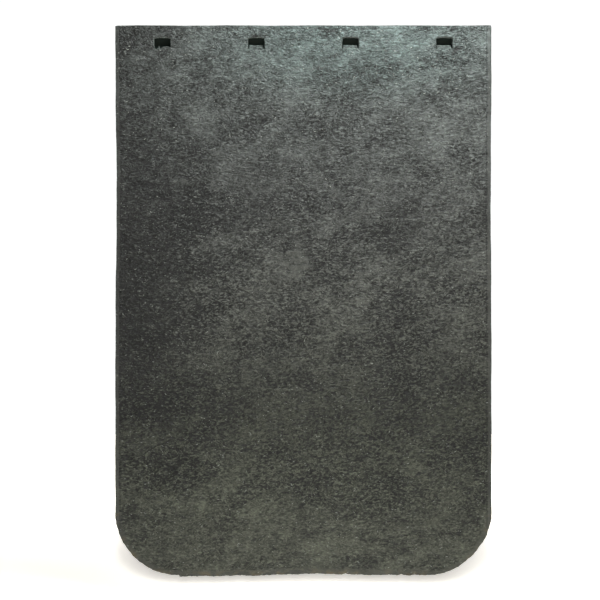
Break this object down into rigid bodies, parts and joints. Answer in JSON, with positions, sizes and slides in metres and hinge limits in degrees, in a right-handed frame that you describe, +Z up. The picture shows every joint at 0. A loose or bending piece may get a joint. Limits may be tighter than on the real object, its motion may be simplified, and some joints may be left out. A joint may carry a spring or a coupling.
{
  "type": "mud flap",
  "caption": "Plain rectangular reinforced-rubber mud flap with rounded lower corners and a row of punched mounting slots along its top edge.",
  "frame": {"origin": "on the line of the mounting slots, at the middle of the width and of the thickness", "axes": "+Z up towards the top edge, +X along the row of slots, -Y out of the face with the slots' sloped lower walls"},
  "size_m": [0.6096, 0.0094, 0.893],
  "materials": {
    "cover_rubber": "matte",
    "skim_rubber": "matte",
    "edge_rubber": "matte",
    "ply_fabric": "matte"
  },
  "bodies": {
    "mounting_band": {"front_cover_band": "cover_rubber", "front_ply_band": "ply_fabric", "core_skim_band": "skim_rubber", "rear_ply_band": "ply_fabric", "rear_cover_band": "cover_rubber", "left_edge_strip_band": "edge_rubber", "right_edge_strip_band": "edge_rubber"},
    "hanging_panel": {"front_cover_panel": "cover_rubber", "front_ply_panel": "ply_fabric", "core_skim_panel": "skim_rubber", "rear_ply_panel": "ply_fabric", "rear_cover_panel": "cover_rubber", "left_edge_strip_panel": "edge_rubber", "right_edge_strip_panel": "edge_rubber"}
  },
  "joints": [
    {"name": "flap_flex", "type": "hinge", "parent": "mounting_band", "child": "hanging_panel", "pos_m": [0, 0, -0.08], "axis": [1, 0, 0], "range_deg": [-45, 45], "stiffness_Nm_per_rad": 5}
  ]
}
